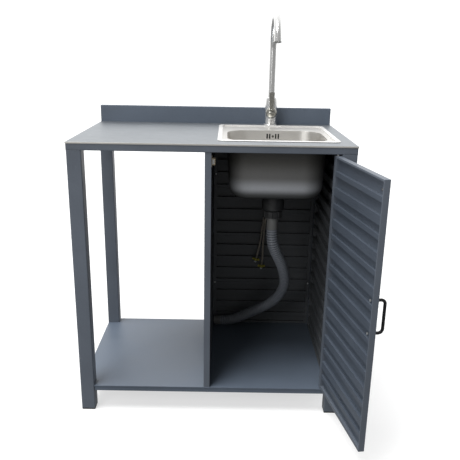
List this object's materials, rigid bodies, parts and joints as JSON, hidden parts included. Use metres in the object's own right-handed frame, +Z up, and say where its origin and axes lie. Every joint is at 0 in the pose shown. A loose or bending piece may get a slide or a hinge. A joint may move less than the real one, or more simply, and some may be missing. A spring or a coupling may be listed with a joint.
{
  "type": "handwash sink cabinet",
  "caption": "Free-standing handwash cabinet: worktop with inset bowl, lever mixer tap, open bay and a hinged-door cupboard with waste and supply hoses.",
  "frame": {"origin": "bottom centre of the box round the object with its door standing open, loose hoses left out; on the ground", "axes": "+Z up, -Y towards the user, +X towards the sink and cupboard side"},
  "size_m": [0.9134, 0.9606, 1.2884],
  "materials": {
    "coated_steel": "fine powder coat, blue-grey",
    "coated_aluminium": "fine powder coat, blue-grey",
    "black_plastic": "moulded, satin",
    "black_metal": "satin black lacquer",
    "brushed_steel": "brushed stainless",
    "bush_plastic": "moulded",
    "catch_plastic": "moulded, beige",
    "seal_rubber": "matt",
    "grey_plastic": "corrugated and smooth, mid grey",
    "polished_chrome": "polished",
    "mixer_ceramic": "matt",
    "yellow_brass": "turned",
    "braided_hose": "steel braid over rubber",
    "ferrule_steel": "crimped",
    "white_plastic": "moulded"
  },
  "bodies": {
    "cabinet": {"front_left_leg": "coated_steel", "front_right_leg": "coated_steel", "rear_left_leg": "coated_steel", "rear_right_leg": "coated_steel", "foot_caps": "black_plastic", "front_top_rail": "coated_steel", "rear_top_rail": "coated_steel", "left_top_rail": "coated_steel", "right_top_rail": "coated_steel", "divider_top_rail": "coated_steel", "bottom_shelf": "coated_steel", "back_panel_frame": "coated_aluminium", "back_planks": "coated_aluminium", "side_panel_frame": "coated_aluminium", "side_planks": "coated_aluminium", "divider_frame": "coated_aluminium", "divider_planks": "coated_aluminium", "panel_screws": "brushed_steel", "worktop": "brushed_steel", "splashback": "coated_steel", "magnetic_catch": "catch_plastic", "catch_magnet": "brushed_steel", "hinge_pins": "brushed_steel", "hinge_washer": "brushed_steel", "sink_bowl": "brushed_steel", "sink_gasket": "seal_rubber", "sink_clips": "brushed_steel", "overflow_housing": "grey_plastic", "overflow_pipe": "grey_plastic", "drain_flange": "brushed_steel", "drain_seal": "seal_rubber", "waste_body": "black_plastic", "waste_screws": "brushed_steel", "waste_nut": "black_plastic", "hose_cuff": "grey_plastic", "waste_hose": "grey_plastic", "hose_end_cuff": "grey_plastic", "tap_base_ring": "polished_chrome", "tap_body": "polished_chrome", "mixer_cartridge": "mixer_ceramic", "tap_shank": "yellow_brass", "tap_backnut": "yellow_brass", "cold_supply_hose": "braided_hose", "hot_supply_hose": "braided_hose", "hose_ferrules": "ferrule_steel", "union_nuts": "yellow_brass", "union_plugs": "white_plastic"},
    "door": {"door_frame": "coated_aluminium", "door_planks": "coated_aluminium", "door_handle": "black_metal", "handle_screws": "brushed_steel", "strike_plate": "brushed_steel", "hinge_bushes": "bush_plastic"},
    "spout": {"spout": "polished_chrome", "aerator": "polished_chrome"},
    "mixer": {"mixer_hub": "polished_chrome", "lever_pin": "polished_chrome"},
    "lever": {"mixer_lever": "polished_chrome"},
    "basket": {"strainer_basket": "brushed_steel"}
  },
  "joints": [
    {"name": "door_hinge", "type": "hinge", "parent": "cabinet", "child": "door", "pos_m": [0.35477, -0.10818, 0.48], "axis": [0, 0, 1], "range_deg": [-99.5, 2.5]},
    {"name": "spout_swivel", "type": "hinge", "parent": "cabinet", "child": "spout", "pos_m": [0.18377, 0.42232, 1.001], "axis": [0, 0, 1], "range_deg": [-120, 120]},
    {"name": "mixer_temperature", "type": "hinge", "parent": "cabinet", "child": "mixer", "pos_m": [0.18377, 0.39532, 0.947], "axis": [0, 1, 0], "range_deg": [-45, 45]},
    {"name": "lever_lift", "type": "hinge", "parent": "mixer", "child": "lever", "pos_m": [0.18377, 0.38792, 0.9575], "axis": [1, 0, 0], "range_deg": [0, 24]},
    {"name": "basket_lift", "type": "slide", "parent": "cabinet", "child": "basket", "axis": [0, 0, 1], "range_m": [0, 0.12]}
  ]
}
